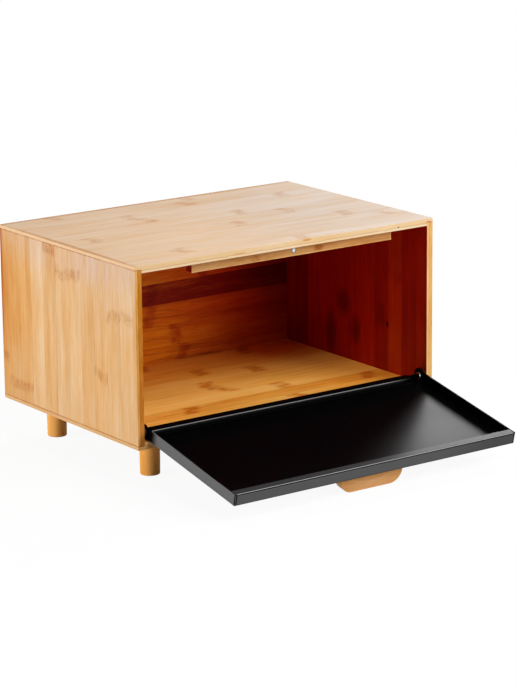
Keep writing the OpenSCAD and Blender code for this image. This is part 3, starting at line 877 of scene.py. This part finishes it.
def magnet():
    """The catch magnet: a steel cup with a groove round its bright core."""
    axis = (0.0, -1.0, 0.0)
    start, length, radius = shaft("catch_magnet", axis)
    edge = 0.3 * MM
    core = 0.55 * radius
    groove = 0.72 * radius
    profile = [
        (0.0, 0.0), (0.0, radius - edge), (edge, radius), (length - edge, radius), (length, radius - edge),
        (length, groove), (length - 2 * edge, groove), (length - 2 * edge, core), (length - edge, core),
        (length, core - edge), (length, 0.0),
    ]
    piece = lathe("catch_magnet_turned", profile, start, axis)
    stand_in(piece, "catch_magnet", "case", FINISHES["magnet"])


# Metal colours, linear. The hinge screw head's near-black middle is painted shade; its rim is bright steel.
# The magnet's cup is darker steel, darkened further by a painted shade round the core.
ZINC = (0.62, 0.62, 0.60)
SCREW_MIDDLE_SHADE = (0.02, 0.02, 0.022)
SCREW_RIM = (0.80, 0.80, 0.82)
MAGNET_CORE = (0.80, 0.82, 0.82)
MAGNET_CUP_AND_SHADE = (0.48, 0.47, 0.42)

FINISHES = {
    "zinc": metal("zinc_steel_plated", ZINC, 0.35),
    # The hinge screws: a painted dark shade in the middle of each head, bright steel round it.
    "hinge": ringed_metal("bright_screw_steel", "left_hinge_screw", "X", SCREW_MIDDLE_SHADE, SCREW_RIM, 2.8),
    # The magnet: a bright core, and a cup of darker steel that a painted shade darkens further.
    "magnet": ringed_metal("magnet_nickel_plate", "catch_magnet", "Y", MAGNET_CORE, MAGNET_CUP_AND_SHADE, 1.6),
    "nylon": nylon(),
}
dress_all()


# Stage, camera and lamps.
FLOOR_HALF = 14.0
FLOOR_GREY = (0.6, 0.6, 0.6)
WHITE = (1.0, 1.0, 1.0)
AMBIENT = 0.1
# How far out the floor's shadow starts to fade and where it is gone, in metres, and how much of the floor's
# look is plain white where the shadow is strongest.
SHADOW_FADES = 0.3
SHADOW_GONE = 0.75
SHADOW_WHITE = 0.93
# Name, place, target, size in metres and level of each lamp.
LAMPS = [
    ("key_lamp", (1.25, -1.75, 1.1), (0.0, -0.05, 0.12), 1.3, 0.80),
    ("fill_lamp", (-0.1, -1.3, 1.7), (0.0, -0.05, 0.12), 0.7, 0.45),
    ("left_lamp", (-2.1, 0.5, 0.5), (-0.19, 0.08, 0.12), 0.9, 0.79),
    ("rim_lamp", (1.47, 1.0, 1.26), (0.1, -0.1, 0.05), 0.65, 0.62),
]


def floor():
    """A pale floor that shows white, and keeps a soft shadow round the object."""
    mesh = bpy.data.meshes.new("floor")
    half = FLOOR_HALF
    corners = [(-half, -half, 0), (half, -half, 0), (half, half, 0), (-half, half, 0)]
    mesh.from_pydata(corners, [], [(0, 1, 2, 3)])
    piece = put("floor", mesh)
    t = Nodes(bpy.data.materials.new("pale_floor"))
    path = t.add("ShaderNodeLightPath").outputs
    distance = t.length(t.add("ShaderNodeTexCoord").outputs["Object"])
    share = t.fade(distance, SHADOW_FADES, SHADOW_GONE, SHADOW_WHITE, 1.0)
    mirrored = t.calc("MAXIMUM", path["Is Glossy Ray"], path["Is Transmission Ray"])
    seen = t.calc("MAXIMUM", path["Is Camera Ray"], mirrored)
    seen_colour = t.mix(path["Is Camera Ray"], FLOOR_GREY, WHITE)
    diffuse = t.add("ShaderNodeBsdfDiffuse", {"Color": seen_colour})
    white = t.add("ShaderNodeEmission", {"Color": WHITE, "Strength": 1.0})
    shown = {0: t.product(seen, share), 1: diffuse.outputs[0], 2: white.outputs[0]}
    surface = t.add("ShaderNodeMixShader", shown)
    t.add("ShaderNodeOutputMaterial", {"Surface": surface.outputs[0]})
    mesh.materials.append(t.owner)


def world():
    """A dim world that shows white to the camera and in reflections."""
    studio = bpy.data.worlds.new("studio")
    bpy.context.scene.world = studio
    t = Nodes(studio)
    path = t.add("ShaderNodeLightPath").outputs
    seen = t.calc("MAXIMUM", path["Is Camera Ray"], path["Is Glossy Ray"])
    ambient = t.add("ShaderNodeBackground", {"Color": WHITE, "Strength": AMBIENT})
    white = t.add("ShaderNodeBackground", {"Color": WHITE, "Strength": 1.0})
    surface = t.add("ShaderNodeMixShader", {0: seen, 1: ambient.outputs[0], 2: white.outputs[0]})
    t.add("ShaderNodeOutputWorld", {"Surface": surface.outputs[0]})


def lamp(name, place, target, size, level):
    """A square soft lamp that faces its target; at level 1 a white card there renders white."""
    light = bpy.data.lights.new(name, "AREA")
    light.size = size
    light.energy = level * (math.pi * (Vector(place) - Vector(target)).length) ** 2
    piece = put(name, light)
    piece.visible_camera = False
    piece.location = place
    piece.rotation_mode = "QUATERNION"
    piece.rotation_quaternion = (Vector(target) - Vector(place)).to_track_quat("-Z", "Y")


def camera():
    """The photograph's camera."""
    a = math.radians(CAMERA_AZIMUTH)
    e = math.radians(CAMERA_ELEVATION)
    roll = math.radians(CAMERA_ROLL)
    back = Vector((math.sin(a) * math.cos(e), -math.cos(a) * math.cos(e), math.sin(e)))
    right = (-back).cross(Vector((0, 0, 1))).normalized()
    up = right.cross(-back)
    right_rolled = math.cos(roll) * right + math.sin(roll) * up
    up_rolled = math.cos(roll) * up - math.sin(roll) * right
    turned = Matrix((right_rolled, up_rolled, back)).transposed().to_4x4()
    data = bpy.data.cameras.new("camera")
    data.sensor_width = SENSOR_WIDTH
    data.lens = CAMERA_LENS
    piece = put("camera", data)
    piece.matrix_world = Matrix.Translation(CAMERA_PLACE) @ turned
    bpy.context.scene.camera = piece


floor()
world()
camera()
for settings in LAMPS:
    lamp(*settings)

bpy.context.scene.view_settings.view_transform = "Standard"
